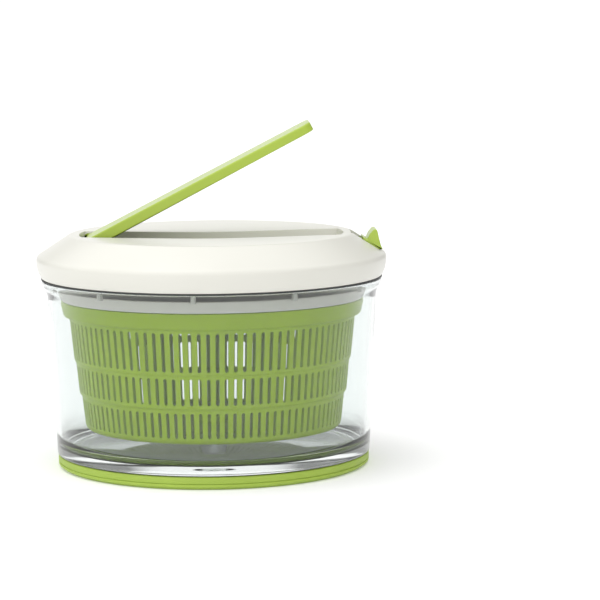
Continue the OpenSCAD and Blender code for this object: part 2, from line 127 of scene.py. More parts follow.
@dataclass(frozen=True)
class MouldedPlastic:
    """Injection-moulded plastic: an even colour with a faint cloud, and a fine spark-eroded grain.

    The cloud keeps large faces from looking painted, and the grain breaks up their highlights. The
    real grain is about a tenth of a millimetre, too fine to show, so it is drawn at grain_mm.
    """

    name: str
    colour: str
    cloud: str
    roughness: float = 0.38
    grain_mm: float = 0.9
    grain_depth: float = 0.05
    cloud_mm: float = 45.0
    translucency: float = 0.0
    coat: float = 0.0
    gloss: float = 0.5

    def make(self) -> bpy.types.Material:
        """Builds the material.

        Returns:
            The new material.
        """
        material, tree, place = start_material(self.name)
        cloud = add(
            tree, "ShaderNodeTexNoise", {"Scale": per_metre(self.cloud_mm), "Detail": 3.0}, {"Vector": place}
        )
        colour = add(
            tree,
            "ShaderNodeMix",
            {"data_type": "RGBA", 6: linear(self.colour), 7: linear(self.cloud)},
            {0: cloud.outputs["Fac"]},
        )
        grain = add(
            tree, "ShaderNodeTexNoise", {"Scale": per_metre(self.grain_mm), "Detail": 4.0}, {"Vector": place}
        )
        rough = add(
            tree,
            "ShaderNodeMapRange",
            {"To Min": self.roughness - 0.05, "To Max": self.roughness + 0.07},
            {"Value": grain.outputs["Fac"]},
        )
        bump = add(
            tree,
            "ShaderNodeBump",
            {"Strength": self.grain_depth, "Distance": 0.0004},
            {"Height": grain.outputs["Fac"]},
        )
        settings = {
            "IOR": 1.5,
            "Specular IOR Level": self.gloss,
            "Coat Weight": self.coat,
            "Coat Roughness": 0.15,
        }
        if self.translucency:
            settings |= {
                "Subsurface Weight": self.translucency,
                "Subsurface Radius": (0.004, 0.004, 0.003),
                "Subsurface Scale": 1.0,
            }
        shader = add(
            tree,
            "ShaderNodeBsdfPrincipled",
            settings,
            {
                "Base Color": colour.outputs[2],
                "Roughness": rough.outputs["Result"],
                "Normal": bump.outputs["Normal"],
            },
        )
        add(tree, "ShaderNodeOutputMaterial", {}, {"Surface": shader.outputs["BSDF"]})
        return material


@dataclass(frozen=True)
class ClearPlastic:
    """Clear acrylic, as kitchen bowls are moulded: bright, with a trace of grey in a thick wall.

    Its surface is polished, with a very slight waviness that bends what is seen through it.
    """

    name: str
    colour: str = "ECF0EF"
    roughness: float = 0.015
    wave_mm: float = 28.0

    def make(self) -> bpy.types.Material:
        """Builds the material.

        Returns:
            The new material.
        """
        material, tree, place = start_material(self.name)
        wave = add(
            tree, "ShaderNodeTexNoise", {"Scale": per_metre(self.wave_mm), "Detail": 1.0}, {"Vector": place}
        )
        rough = add(
            tree,
            "ShaderNodeMapRange",
            {"To Min": self.roughness * 0.5, "To Max": self.roughness * 2},
            {"Value": wave.outputs["Fac"]},
        )
        bump = add(
            tree, "ShaderNodeBump", {"Strength": 0.06, "Distance": 0.001}, {"Height": wave.outputs["Fac"]}
        )
        shader = add(
            tree,
            "ShaderNodeBsdfPrincipled",
            {"Base Color": linear(self.colour), "Transmission Weight": 1.0, "IOR": 1.49},
            {"Roughness": rough.outputs["Result"], "Normal": bump.outputs["Normal"]},
        )
        add(tree, "ShaderNodeOutputMaterial", {}, {"Surface": shader.outputs["BSDF"]})
        return material


@dataclass(frozen=True)
class TurnedSteel:
    """Stainless steel turned or drawn: bright metal with fine streaks round its axis.

    A turned streak is a few hundredths of a millimetre wide, so it is drawn at streak_mm to show.
    """

    name: str
    colour: str = "B9BABC"
    streak_mm: float = 0.25
    stretch: float = 14.0

    def make(self) -> bpy.types.Material:
        """Builds the material.

        Returns:
            The new material.
        """
        material, tree, place = start_material(self.name)
        drawn = add(tree, "ShaderNodeMapping", {"Scale": (1.0, 1.0, self.stretch)}, {"Vector": place})
        streak = add(
            tree,
            "ShaderNodeTexNoise",
            {"Scale": per_metre(self.streak_mm * self.stretch), "Detail": 5.0},
            {"Vector": drawn.outputs["Vector"]},
        )
        rough = add(
            tree, "ShaderNodeMapRange", {"To Min": 0.22, "To Max": 0.42}, {"Value": streak.outputs["Fac"]}
        )
        bump = add(
            tree, "ShaderNodeBump", {"Strength": 0.12, "Distance": 0.0001}, {"Height": streak.outputs["Fac"]}
        )
        shader = add(
            tree,
            "ShaderNodeBsdfPrincipled",
            {"Base Color": linear(self.colour), "Metallic": 1.0},
            {"Roughness": rough.outputs["Result"], "Normal": bump.outputs["Normal"]},
        )
        add(tree, "ShaderNodeOutputMaterial", {}, {"Surface": shader.outputs["BSDF"]})
        return material


class Stock(Enum):
    """The materials that the spinner is made of."""

    # polished acrylic: sharp reflections, and a trace of grey where the wall is thick
    CLEAR_BOWL = ClearPlastic("clear_acrylic")
    # satin ABS: a soft broad highlight on the lid's shoulder
    LID_WHITE = MouldedPlastic("warm_white_abs", "D8D7CF", "D4D3CA", roughness=0.3)
    # polypropylene is duller and creamier than the lid
    PLATE_WHITE = MouldedPlastic("white_polypropylene", "FBF8F0", "F7F3EA", roughness=0.42)
    # waxy polypropylene: a full colour with hardly a highlight
    BASKET_GREEN = MouldedPlastic(
        "leaf_green_polypropylene", "BBDB14", "ADCE0C", roughness=0.42, gloss=0.2, cloud_mm=30.0
    )
    # glossier ABS: its top face catches the sky
    LEVER_GREEN = MouldedPlastic(
        "leaf_green_abs", "A4BB40", "9BB238", roughness=0.3, grain_depth=0.02, coat=0.25
    )
    # soft elastomer: matt, slightly milky, with a coarser skin that grips the table
    RING_GREEN = MouldedPlastic(
        "soft_green_elastomer",
        "A2BB4A",
        "97B040",
        roughness=0.5,
        grain_mm=0.6,
        grain_depth=0.1,
        translucency=0.2,
    )
    # painted shade: a thin dull dark ring that stands in for the shadow gap between lid and bowl
    SEAL = MouldedPlastic("dark_painted_gap_shade", "343736", "2B2D2D", roughness=0.55, grain_depth=0.12)
    # acetal: slippery and slightly shiny, as moulded gears are
    GEAR_WHITE = MouldedPlastic("white_acetal", "E6E6E0", "DCDCD5", roughness=0.3, grain_mm=1.4)
    # turned steel: bright, with streaks
    STEEL = TurnedSteel("turned_stainless_steel")

    @property
    def material(self) -> bpy.types.Material:
        """The material, made when it is first used."""
        return bpy.data.materials.get(self.value.name) or self.value.make()


# ---------------------------------------------------------------- mesh tools


def arc(centre: Point, radius: float, start: float, end: float, steps: int = 8) -> list[Point]:
    """Points of an arc.

    Args:
        centre: The arc's centre.
        radius: Its radius.
        start: First angle in degrees.
        end: Last angle in degrees.
        steps: Number of chords.

    Returns:
        The points from start to end.
    """
    angles = [math.radians(start + (end - start) * i / steps) for i in range(steps + 1)]
    return [(centre[0] + radius * math.cos(a), centre[1] + radius * math.sin(a)) for a in angles]


def rounded(points: Sequence[Point], radii: Sequence[float], steps: int = 4) -> list[Point]:
    """Rounds the corners of a closed outline.

    Args:
        points: The outline's corners.
        radii: One radius for each corner, 0 to keep it sharp.
        steps: Chords in each rounded corner.

    Returns:
        The outline with its corners replaced by arcs.
    """
    result: list[Point] = []
    count = len(points)
    for i, (point, radius) in enumerate(zip(points, radii)):
        if not radius:
            result.append(point)
            continue
        here = Vector(point)
        back = (Vector(points[i - 1]) - here).normalized()
        ahead = (Vector(points[(i + 1) % count]) - here).normalized()
        half = back.angle(ahead) / 2
        reach = radius / math.tan(half)
        centre = here + (back + ahead).normalized() * (radius / math.sin(half))
        first, last = here + back * reach - centre, here + ahead * reach - centre
        for k in range(steps + 1):
            turned = first.slerp(last, k / steps)
            result.append(tuple(centre + turned.normalized() * radius))
    return result


def piece_from(bm: bmesh.types.BMesh, name: str, stock: Stock, sharp_deg: float = 38.0) -> bpy.types.Object:
    """Turns a bmesh in millimetres into a shaded object in metres.

    Args:
        bm: The mesh, which is freed.
        name: The piece's name.
        stock: What it is made of.
        sharp_deg: Edges that turn by more than this keep a crisp highlight.

    Returns:
        The new object, at the origin.
    """
    bmesh.ops.scale(bm, vec=(MM, MM, MM), verts=bm.verts)
    bmesh.ops.remove_doubles(bm, verts=bm.verts, dist=WELD)
    bmesh.ops.dissolve_degenerate(bm, edges=bm.edges, dist=WELD)
    bmesh.ops.recalc_face_normals(bm, faces=bm.faces)
    for face in bm.faces:
        face.smooth = True
    for edge in bm.edges:
        if len(edge.link_faces) == 2:
            edge.smooth = edge.calc_face_angle(0.0) < math.radians(sharp_deg)
    mesh = bpy.data.meshes.new(name)
    bm.to_mesh(mesh)
    bm.free()
    mesh.materials.append(stock.material)
    piece = bpy.data.objects.new(name, mesh)
    bpy.context.scene.collection.objects.link(piece)
    return piece


def place(piece: bpy.types.Object, body: str, slot: str, *nodes: str) -> bpy.types.Object:
    """Puts a piece on its CAD body in the stead of its CAD nodes.

    Args:
        piece: The finished piece.
        body: The body that it moves with.
        slot: The record's material slot.
        nodes: The CAD nodes that it stands for.

    Returns:
        The piece.
    """
    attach(piece, body)
    if nodes:
        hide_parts(*nodes)
    LOG.info("%s: %d faces on %s", piece.name, len(piece.data.polygons), body)
    return piece


def add_outline(bm: bmesh.types.BMesh, points: Iterable[Sequence[float]], closed: bool = True) -> list:
    """Adds a chain of edges.

    Args:
        bm: The mesh that it joins.
        points: Its corners, in three dimensions.
        closed: Whether the chain returns to its start.

    Returns:
        The chain's vertices and edges.
    """
    verts = [bm.verts.new(p) for p in points]
    pairs = list(zip(verts, verts[1:])) + ([(verts[-1], verts[0])] if closed else [])
    return verts + [bm.edges.new(pair) for pair in pairs]


def turn(bm: bmesh.types.BMesh, outline: Sequence[Point], steps: int = 160, closed: bool = True) -> None:
    """Turns an outline of radius and height once round the Z axis.

    Args:
        bm: The mesh that it joins.
        outline: Points of radius and height.
        steps: Faces round the axis.
        closed: Whether the outline is a loop, as a ring's is, or runs from axis to axis.
    """
    chain = add_outline(bm, [(r, 0.0, z) for r, z in outline], closed)
    bmesh.ops.spin(
        bm, geom=chain, cent=(0, 0, 0), axis=(0, 0, 1), angle=math.tau, steps=steps, use_merge=True
    )


def prism(bm: bmesh.types.BMesh, outline: Sequence[Sequence[float]], along: Sequence[float]) -> list:
    """Extrudes a flat outline into a closed solid.

    Args:
        bm: The mesh that it joins.
        outline: The corners, in three dimensions.
        along: The extrusion.

    Returns:
        The solid's vertices.
    """
    verts = [bm.verts.new(p) for p in outline]
    base = bm.faces.new(verts)
    made = bmesh.ops.extrude_face_region(bm, geom=[base], use_keep_orig=True)["geom"]
    moved = [g for g in made if isinstance(g, bmesh.types.BMVert)]
    bmesh.ops.translate(bm, vec=along, verts=moved)
    return verts + moved


def add_bar(bm: bmesh.types.BMesh, box: Sequence[float], turned: float = 0.0, edge: float = 0.3) -> None:
    """Adds a box with softened edges.

    Args:
        bm: The mesh that it joins.
        box: Its low and high x, low and high y, and low and high z.
        turned: How far it stands round the axis, in degrees.
        edge: The width of its softened edges.
    """
    made = bmesh.ops.create_cube(bm, size=1.0)["verts"]
    bmesh.ops.scale(bm, verts=made, vec=[high - low for low, high in zip(box[::2], box[1::2])])
    bmesh.ops.translate(bm, verts=made, vec=[(high + low) / 2 for low, high in zip(box[::2], box[1::2])])
    edges = list({e for v in made for e in v.link_edges})
    made = bmesh.ops.bevel(
        bm, geom=edges, offset=edge, segments=2, profile=0.5, affect="EDGES", material=-1
    )["verts"]
    bmesh.ops.rotate(
        bm, verts=made, cent=(0, 0, 0), matrix=Matrix.Rotation(math.radians(turned), 3, "Z")
    )


def add_block(bm: bmesh.types.BMesh, low: Sequence[float], high: Sequence[float]) -> list:
    """Adds a plain box.

    Args:
        bm: The mesh that it joins.
        low: Its lowest corner.
        high: Its highest corner.

    Returns:
        Its vertices.
    """
    made = bmesh.ops.create_cube(bm, size=1.0)["verts"]
    bmesh.ops.scale(bm, verts=made, vec=[b - a for a, b in zip(low, high)])
    bmesh.ops.translate(bm, verts=made, vec=[(a + b) / 2 for a, b in zip(low, high)])
    return made


def solid(build: Callable[[bmesh.types.BMesh], None], name: str) -> bpy.types.Object:
    """Makes a plain tool object for a boolean.

    Args:
        build: Adds the tool's shape, in millimetres, to a mesh.
        name: The tool's name.

    Returns:
        The tool, which combine removes after use.
    """
    bm = bmesh.new()
    build(bm)
    return piece_from(bm, name, Stock.LID_WHITE)


def combine(piece: bpy.types.Object, tools: Iterable[tuple[str, bpy.types.Object]]) -> None:
    """Adds and cuts tools, in order, and keeps the result as the piece's own mesh.

    Args:
        piece: The piece that is changed.
        tools: Pairs of an operation, "UNION" or "DIFFERENCE", and the tool.
    """
    made = []
    for operation, tool in tools:
        modifier = piece.modifiers.new(operation.lower(), "BOOLEAN")
        modifier.operation = operation
        modifier.solver = "EXACT"
        modifier.object = tool
        made.append(tool)
    graph = bpy.context.evaluated_depsgraph_get()
    old = piece.data
    piece.data = bpy.data.meshes.new_from_object(piece.evaluated_get(graph))
    piece.modifiers.clear()
    bpy.data.meshes.remove(old)
    for tool in made:
        bpy.data.objects.remove(tool)


def soften(piece: bpy.types.Object, width_mm: float, segments: int = 3, angle_deg: float = 40.0) -> None:
    """Rounds a piece's sharp edges with a bevel that keeps its width along straight and cut edges.

    Args:
        piece: The piece that is changed.
        width_mm: The width of the rounding.
        segments: Faces across it.
        angle_deg: Edges that turn by less are left.
    """
    bevel = piece.modifiers.new("edges", "BEVEL")
    bevel.width = width_mm * MM
    bevel.segments = segments
    bevel.limit_method = "ANGLE"
    bevel.angle_limit = math.radians(angle_deg)
    bevel.harden_normals = False
    bevel.loop_slide = False
    bevel.use_clamp_overlap = False


# ---------------------------------------------------------------- sub-assemblies


@dataclass
class Bowl:
    """The clear bowl and its soft foot ring."""

    foot_r: float = 99.1
    wall: float = 2.6
    neck_r: float = 103.5
    neck_z: float = 106.0
    floor_z: float = 13.5
    corner_r: float = 9.0
    pin_r: float = 5.0
    pin_top: float = 29.8
    ring_r: float = 98.5
    ring_h: float = 8.0
    ring_lift: float = 1.6
    skirt: tuple[float, float] = (84.0, 88.0)
    lip: float = 1.6
    rim_round: float = 0.7
    flare_steps: int = 12
    top: Vector = field(default_factory=lambda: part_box("bowl")[1] / MM)

    def flare(self, inset: float) -> list[Point]:
        """Outlines the neck, from the wall up to the rim.

        Args:
            inset: How far it lies inside the outer face.

        Returns:
            Points of radius and height.
        """
        rise = self.top.z - self.lip - self.neck_z
        reach = self.top.x - self.neck_r
        return [
            (self.neck_r - inset + reach * math.sin(math.pi / 2 * t * t), self.neck_z + rise * t)
            for t in [i / self.flare_steps for i in range(self.flare_steps + 1)]
        ]

    def build(self) -> bpy.types.Object:
        """Builds the bowl in one turn: underside, wall, flared rim, inner wall, floor and pin.

        Returns:
            The bowl.
        """
        inner_foot = self.foot_r - self.wall
        outline = [(0.0, self.ring_h + 0.5), (self.skirt[0], self.ring_h + 0.5)]
        outline += [(r, self.ring_lift) for r in self.skirt] + [(self.skirt[1], self.ring_h + 0.1)]
        outline += arc((self.foot_r - 1.6, self.ring_h + 1.7), 1.6, -90, 2, 5)
        outline += self.flare(0.0)
        outline += arc((self.top.x - self.rim_round, self.top.z - self.rim_round), self.rim_round, 10, 90, 3)
        outline += [(self.top.x - self.wall, self.top.z)]
        outline += self.flare(self.wall)[::-1][1:]
        outline += arc((inner_foot - self.corner_r, self.floor_z + self.corner_r), self.corner_r, 0, -90, 10)
        outline += [(9.2, self.floor_z), (7.6, self.floor_z + 5), (self.pin_r, self.floor_z + 5)]
        outline += arc((self.pin_r - 1, self.pin_top - 1), 1.0, 0, 90, 3) + [(0.0, self.pin_top)]
        bm = bmesh.new()
        turn(bm, outline, steps=192, closed=False)
        return place(piece_from(bm, "clear_bowl", Stock.CLEAR_BOWL, 30), "bowl", "clear_plastic", "bowl")

    def ring(self) -> bpy.types.Object:
        """Builds the soft ring that wraps the foot, with its groove.

        Returns:
            The ring.
        """
        out, inside = self.ring_r, self.skirt[0] - 2
        corners = [(inside, 0.0), (out - 2.9, 0.0), (out - 0.1, 2.0), (out - 0.1, 3.3), (out - 0.9, 3.6)]
        corners += [(out - 0.1, 4.0), (out, self.ring_h), (self.skirt[1], self.ring_h)]
        corners += [(self.skirt[1], self.ring_lift), (inside, self.ring_lift)]
        radii = [0.3, 2.0, 0.5, 0.2, 0.15, 0.2, 0.7, 0.0, 0.0, 0.3]
        bm = bmesh.new()
        turn(bm, rounded(corners, radii), steps=192)
        return place(piece_from(bm, "foot_ring", Stock.RING_GREEN), "bowl", "soft_green", "base_ring")


@dataclass
class Basket:
    """The slotted basket, unrolled as one narrow strip that is repeated round the axis.

    The outline runs from the hub over the floor and the three tiers of the wall to the rim. A cell
    with a slot fills each stretch of it that is named in slotted. Share is the slot's part of its
    pitch, and shift turns the slots by a part of their pitch.
    """

    slots: int = 101
    share: float = 0.41
    wall: float = 2.2
    columns: int = 5
    hub_r: float = 9.5
    hub_z: tuple[float, float] = (20.0, 31.6)
    outline: tuple[Point, ...] = (
        (12.0, 24.8), (40.0, 24.8), (56.0, 24.8), (62.0, 24.8), (75.0, 24.8), (77.9, 24.8),
        (79.4, 25.2), (80.5, 26.3), (80.9, 27.8), (81.0, 28.3), (82.8, 44.4), (83.0, 46.0),
        (83.3, 46.5), (84.2, 47.1), (84.45, 47.7), (84.55, 48.9), (86.15, 65.8), (86.3, 67.0),
        (86.6, 67.5), (87.1, 67.9), (87.35, 68.5), (87.45, 69.4), (90.1, 94.1), (90.2, 95.0),
        (90.6, 95.7), (92.8, 96.0), (93.7, 96.5), (94.1, 97.3), (95.95, 106.1),
    )
    slotted: tuple[int, ...] = (1, 3, 9, 15, 21)
    shift: float = 0.25

    def station(self, s: float) -> Point:
        """Finds a place along the outline.

        Args:
            s: How many corners of the outline lie behind it.

        Returns:
            Its radius and height.
        """
        i = min(int(s), len(self.outline) - 2)
        (r0, z0), (r1, z1) = self.outline[i], self.outline[i + 1]
        t = s - i
        return r0 + (r1 - r0) * t, z0 + (z1 - z0) * t

    def cell(self, bm: bmesh.types.BMesh, row: int) -> None:
        """Adds one flat cell with a round-ended slot, between two corners of the outline.

        Args:
            bm: The mesh that it joins.
            row: The number of the first corner.
        """
        (r0, z0), (r1, z1) = self.outline[row], self.outline[row + 1]
        length = math.hypot(r1 - r0, z1 - z0)
        pitch = math.tau * (r0 + r1) / 2 / self.slots
        round_end = self.share * pitch / 2 / length
        sides = 16
        hole = bmesh.ops.create_circle(bm, segments=sides, radius=0.5)["verts"]
        half_side = Matrix.Rotation(math.tau / (2 * sides), 3, "Z")
        bmesh.ops.rotate(bm, verts=hole, cent=(0, 0, 0), matrix=half_side)
        for vert in hole:
            side = 1 if vert.co.y > 0 else -1
            vert.co.x *= self.share
            vert.co.y = vert.co.y * 2 * round_end + side * (0.5 - round_end) * 0.97
        border = bmesh.ops.create_grid(bm, x_segments=self.columns, y_segments=3, size=0.5)["verts"]
        inside = [v for v in border if abs(v.co.x) < 0.49 and abs(v.co.y) < 0.49]
        bmesh.ops.delete(bm, geom=inside, context="VERTS")
        rim = [v for v in border if v.is_valid]
        loops = {e for v in hole + rim for e in v.link_edges}
        bmesh.ops.bridge_loops(bm, edges=list(loops))
        bmesh.ops.translate(bm, verts=hole + rim, vec=(0, row + 0.5, 0))

    def band(self, bm: bmesh.types.BMesh, row: int) -> None:
        """Adds one flat band without a slot."""
        made = bmesh.ops.create_grid(bm, x_segments=self.columns, y_segments=1, size=0.5)["verts"]
        bmesh.ops.translate(bm, verts=made, vec=(0, row + 0.5, 0))

    def build(self) -> bpy.types.Object:
        """Builds the strip, wraps it, repeats it round the axis and gives it its thickness.

        Returns:
            The basket.
        """
        bm = bmesh.new()
        for row in range(len(self.outline) - 1):
            (self.cell if row in self.slotted else self.band)(bm, row)
        bmesh.ops.remove_doubles(bm, verts=bm.verts, dist=1e-4)
        for vert in bm.verts:
            angle = (vert.co.x + self.shift) * math.tau / self.slots
            radius, height = self.station(vert.co.y)
            vert.co = (radius * math.cos(angle), radius * math.sin(angle), height)
        strip = bm.verts[:] + bm.edges[:] + bm.faces[:]
        bmesh.ops.spin(
            bm,
            geom=strip,
            cent=(0, 0, 0),
            axis=(0, 0, 1),
            angle=math.tau * (self.slots - 1) / self.slots,
            steps=self.slots - 1,
            use_duplicate=True,
        )
        bmesh.ops.remove_doubles(bm, verts=bm.verts, dist=1e-3)
        bmesh.ops.recalc_face_normals(bm, faces=bm.faces)
        outward = [f for f in bm.faces if f.calc_center_median().z > 60][0]
        if outward.normal.dot(Vector((*outward.calc_center_median().xy, 0))) < 0:
            bmesh.ops.reverse_faces(bm, faces=bm.faces)
        bmesh.ops.solidify(bm, geom=bm.faces[:], thickness=self.wall)
        self.add_hub(bm)
        self.add_ribs(bm)
        return place(
            piece_from(bm, "slotted_basket", Stock.BASKET_GREEN, 42), "basket", "basket_green", "basket"
        )

    def add_hub(self, bm: bmesh.types.BMesh) -> None:
        """Adds the hub that holds the pivot cup, with a domed top.

        Args:
            bm: The mesh that it joins.
        """
        low, high = self.hub_z
        hub = [(0.0, high - 1.4), (7.4, high - 1.4), (7.4, low), (self.hub_r, low), (self.hub_r, low + 5.0)]
        hub += [(12.4, low + 5.0), (12.4, low + 6.8), (self.hub_r, low + 7.6)]
        hub += arc((self.hub_r - 2, high - 2.0), 2.0, 0, 90, 5) + [(0.0, high)]
        turn(bm, hub, steps=96, closed=False)

    def add_ribs(self, bm: bmesh.types.BMesh, count: int = 6, width: float = 2.4) -> None:
        """Adds the upright ribs inside the rim that the drive plate's dogs push on.

        Args:
            bm: The mesh that they join.
            count: How many there are.
            width: How wide each is.
        """
        for k in range(count):
            rib = add_block(bm, (90.8, -width / 2, 98.0), (93.6, width / 2, 106.0))
            place_round = Matrix.Rotation(math.tau * k / count, 3, "Z")
            bmesh.ops.rotate(bm, verts=rib, cent=(0, 0, 0), matrix=place_round)


@dataclass
class DrivePlate:
    """The white plate under the lid that covers the basket's rim and turns it."""

    rim_r: float = 96.5
    rim_t: float = 2.6
    rim_z: tuple[float, float] = (106.8, 114.0)
    web_z: tuple[float, float] = (111.0, 113.2)
    hub_r: float = 8.0
    hub_z: tuple[float, float] = (107.0, 115.4)
    bore_r: float = 3.02
    rib_count: int = 8
    dog_pairs: int = 6

    def build(self) -> bpy.types.Object:
        """Builds the rim, web and hub in one turn and adds the ribs and dogs.

        Returns:
            The plate.
        """
        inner = self.rim_r - self.rim_t
        low, high = self.hub_z
        corners = [(self.bore_r, low), (self.hub_r, low), (self.hub_r, self.web_z[0]), (inner, self.web_z[0])]
        corners += [(inner, self.rim_z[0]), (self.rim_r, self.rim_z[0]), (self.rim_r, self.rim_z[1])]
        corners += [(inner, self.rim_z[1]), (inner, self.web_z[1]), (self.hub_r, self.web_z[1])]
        corners += [(self.hub_r, high), (self.bore_r, high)]
        radii = [0, 0.6, 0.6, 0.6, 0.3, 0.4, 0.7, 0.4, 0.6, 0.6, 0.6, 0]
        bm = bmesh.new()
        turn(bm, rounded(corners, radii), steps=192)
        for k in range(self.rib_count):
            add_bar(bm, (6, 89, -1, 1, 108.5, 111.4), 360 * (k + 0.5) / self.rib_count)
        for k in range(self.dog_pairs):
            add_bar(bm, (89.5, 92.4, 1.7, 6.7, 103.6, 111.4), 360 * k / self.dog_pairs)
            add_bar(bm, (89.5, 92.4, -6.7, -1.7, 103.6, 111.4), 360 * k / self.dog_pairs)
        return place(piece_from(bm, "drive_disc", Stock.PLATE_WHITE), "drive", "lid_white", "drive_plate")


@dataclass
class Lid:
    """The white lid, its liner, and a thin dark ring at the seam that paints the shadow gap between lid and
    bowl.
    """

    widest_r: float = 110.2
    edge_r: float = 107.2
    seam_z: float = 119.5
    shoulder_z: float = 130.4
    shoulder_round: float = 4.0
    crown_round: float = 5.0
    slope_deg: float = 33.0
    wall: float = 2.4
    channel_r: float = 83.0
    channel_half: float = 21.5
    channel_z: float = 136.5
    latch_half: float = 12.3
    latch_x: float = 87.9
    latch_z: float = 135.4
    tongue_z: tuple[float, float] = (140.2, 142.65)
    top_z: float = 146.2
    dish: float = 2.2
    edge_round: float = 1.5
    steps: int = 128
    floor_t: float = 2.0
    seat_t: float = 2.0
    edge_width: float = 0.45

    def half_outline(self, inset: float) -> list[Point]:
        """Outlines the lid from its lower edge over the shoulder to the axis.

        Args:
            inset: How far the outline lies inside the outer face.

        Returns:
            Points of radius and height.
        """
        depth = self.widest_r - self.edge_r
        rise = self.shoulder_z - self.seam_z
        bulge = (rise * rise + depth * depth) / (2 * depth)
        edge = self.edge_round
        normal = 90 - self.slope_deg
        side = (self.widest_r - self.shoulder_round, self.shoulder_z)
        crown_z = self.top_z - self.crown_round
        slope = math.radians(self.slope_deg)
        crown_x = side[0] + (side[1] - crown_z) / math.tan(slope)
        crown_x += (self.shoulder_round - self.crown_round) / math.sin(slope)
        if inset:
            start = math.asin(rise / (bulge - inset))
            outline = []
        else:
            start = math.asin((rise - edge) / (bulge - edge))
            middle = (self.widest_r - bulge + (bulge - edge) * math.cos(start), self.seam_z + edge)
            outline = arc(middle, edge, -90, -math.degrees(start) - 9, 5)
        outline += arc((self.widest_r - bulge, self.shoulder_z), bulge - inset, -math.degrees(start), 0, 10)
        outline += arc(side, self.shoulder_round - inset, 7, normal, 7)
        level = 90 + math.degrees(math.atan(self.dish / crown_x))
        outline += arc((crown_x, crown_z), self.crown_round - inset, normal, level, 7)
        return outline + [(0.0, self.top_z - self.dish - inset)]

    def channel_plan(self, spread: float, z: float) -> list[tuple[float, float, float]]:
        """Lays out the channel's plan, a disc cut off by two straight sides.

        Args:
            spread: How far the plan is set out.
            z: Its height.

        Returns:
            Its corners in order.
        """
        radius, half = self.channel_r + spread, self.channel_half + spread
        limit = math.degrees(math.asin(half / radius))
        right = arc((0, 0), radius, -limit, limit, 14)
        left = arc((0, 0), radius, 180 - limit, 180 + limit, 14)
        return [(x, y, z) for x, y in right + left]

    def shell(self) -> bpy.types.Object:
        """Builds the shell, adds the channel's tray and cuts the channel, pocket and slots.

        Returns:
            The lid's shell.
        """
        outer, inner = self.half_outline(0.0), self.half_outline(self.wall)
        bm = bmesh.new()
        turn(bm, inner[::-1] + outer, steps=self.steps, closed=False)
        piece = piece_from(bm, "lid_top", Stock.LID_WHITE)
        floor_z = self.channel_z - self.floor_t
        height = self.top_z - self.dish - floor_z
        half, low = self.latch_half, self.latch_z
        cuts = [
            ((-83.5, -4.6, floor_z - 1), (-66, 4.6, self.channel_z + 1)),
            ((self.latch_x, -half, low), (130, half, 160)),
            ((self.channel_r - 2, -5.6, self.tongue_z[0]), (self.latch_x + 1, 5.6, self.tongue_z[1])),
            ((91.5, -2, low - 4), (103.5, 2, low + 1)),
        ]

        def tray(tool: bmesh.types.BMesh) -> None:
            """Adds the solid that the channel is cut into."""
            prism(tool, self.channel_plan(self.wall, floor_z), (0, 0, height))

        def channel(tool: bmesh.types.BMesh) -> None:
            """Adds the channel's space."""
            prism(tool, self.channel_plan(0.0, self.channel_z), (0, 0, 20))

        tools = [("UNION", solid(tray, "tray")), ("UNION", solid(self.latch_seat, "seat"))]
        tools += [("DIFFERENCE", solid(channel, "channel"))]
        tools += [
            ("DIFFERENCE", solid(lambda tool, box=corners: add_block(tool, *box), "cut")) for corners in cuts
        ]
        combine(piece, tools)
        # the dished top is nearly level, so flat faces keep its shading even beside the channel
        for face in piece.data.polygons:
            face.use_smooth = abs(face.normal.z) < 0.998
        soften(piece, self.edge_width)
        return place(piece, "lid", "lid_white", "lid_shell")

    def latch_seat(self, bm: bmesh.types.BMesh) -> None:
        """Adds the walls and floor of the latch's pocket, which end just under the lid's skin.

        Args:
            bm: The mesh that they join.
        """
        half = self.latch_half + self.seat_t
        start = self.latch_x - 2.2
        under_skin = 0.6
        low = self.latch_z - self.seat_t
        rim = [p for p in self.half_outline(under_skin) if p[0] > start and p[1] > low]
        outline = [(start, low)]
        outline += [(r * math.cos(math.asin(half / r)), z) for r, z in rim]
        outline += [(start, self.top_z - under_skin)]
        prism(bm, [(x, -half, z) for x, z in outline], (0, 2 * half, 0))

    def liner(self) -> bpy.types.Object:
        """Builds the plate under the lid, with its step, centring ribs and guide rails.

        Returns:
            The liner.
        """
        corners = [(5.02, 115.8), (9.0, 115.8), (9.0, 116.5), (91.5, 116.5), (91.5, 119.2), (104.0, 119.2)]
        corners += [(104.0, 121.2), (89.5, 121.2), (89.5, 118.5), (5.02, 118.5)]
        radii = [0, 0.3, 0.3, 0.8, 0.6, 0.6, 0.5, 0.5, 0.6, 0]
        bm = bmesh.new()
        turn(bm, rounded(corners, radii), steps=192)
        for k in range(10):
            add_bar(bm, (98.0, 100.5, -1.5, 1.5, 113.2, 119.6), -96.5 + 36 * k)
        add_bar(bm, (-86.0, -16.0, -6.1, -4.1, 118.3, 124.0))
        add_bar(bm, (-86.0, -44.0, 4.1, 6.1, 118.3, 124.0))
        return place(piece_from(bm, "lid_underside", Stock.LID_WHITE), "lid", "lid_white", "lid_liner")

    def painted_seam_shadow_ring(self) -> bpy.types.Object:
        """Builds a thin dark ring at the seam between lid and bowl: painted shade that stands in for the shadow
        gap there.

        Returns:
            The dark ring of painted shade.
        """
        # a dark ring painted where the seam between lid and bowl is only in shade
        low, high = self.seam_z - 1.0, self.seam_z
        corners = [(104.1, low), (107.4, low), (107.4, high), (104.1, high)]
        bm = bmesh.new()
        turn(bm, rounded(corners, [0.2] * 4, 3))
        return place(piece_from(bm, "painted_seam_shadow", Stock.SEAL), "lid", "dark_seal", "rim_gasket")


